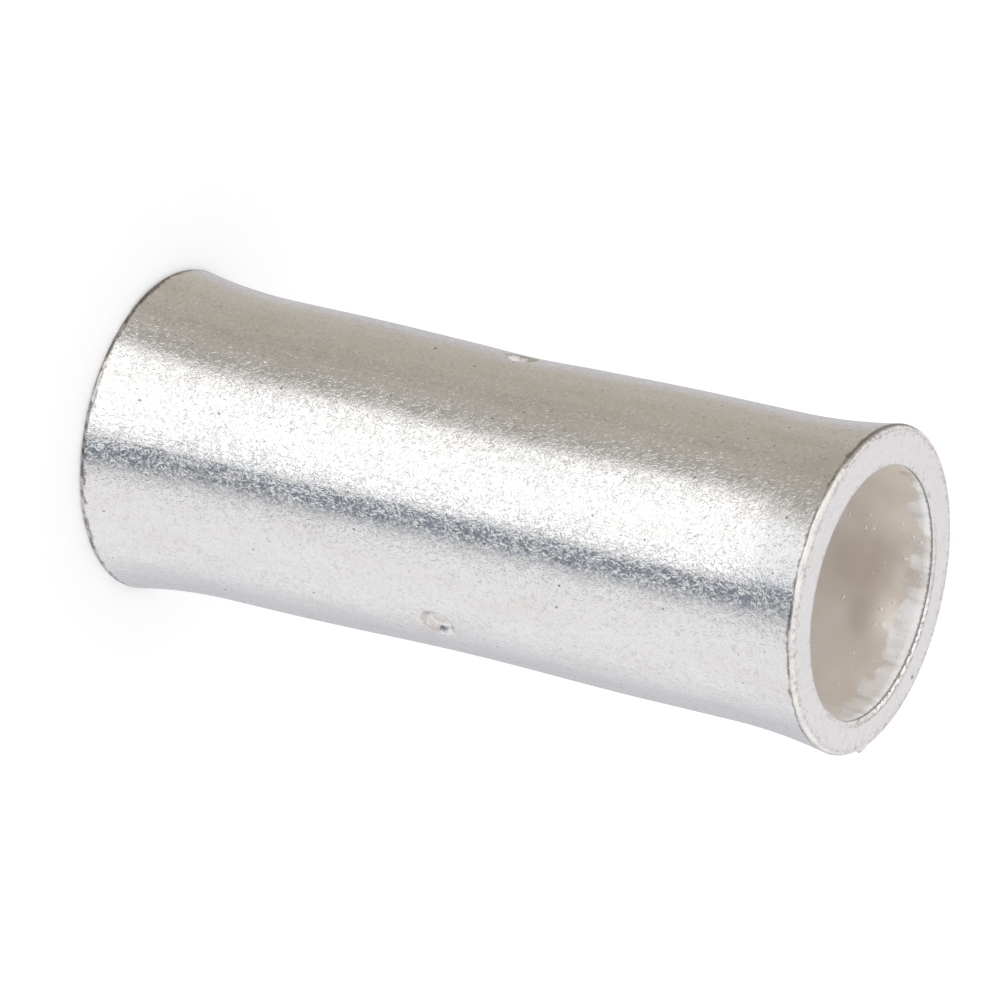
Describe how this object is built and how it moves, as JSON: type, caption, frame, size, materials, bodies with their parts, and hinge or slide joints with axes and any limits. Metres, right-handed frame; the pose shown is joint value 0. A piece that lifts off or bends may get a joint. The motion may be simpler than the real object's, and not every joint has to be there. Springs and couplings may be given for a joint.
{
  "type": "butt splice connector",
  "caption": "Tin-plated copper sleeve, flared at both open ends, with pressed wire stops at its waist; a stripped wire enters each end and is crimped in place.",
  "frame": {"origin": "middle of the lower end face, which the sleeve stands on", "axes": "+Z along the sleeve's axis, from the lower end to the upper end; the back wire stop lies near +Y"},
  "size_m": [0.0142, 0.0142, 0.035],
  "materials": {
    "tin": "satin tin plate, tumbled, with fine short scratches"
  },
  "bodies": {
    "root": {"sleeve": "tin"}
  },
  "joints": []
}
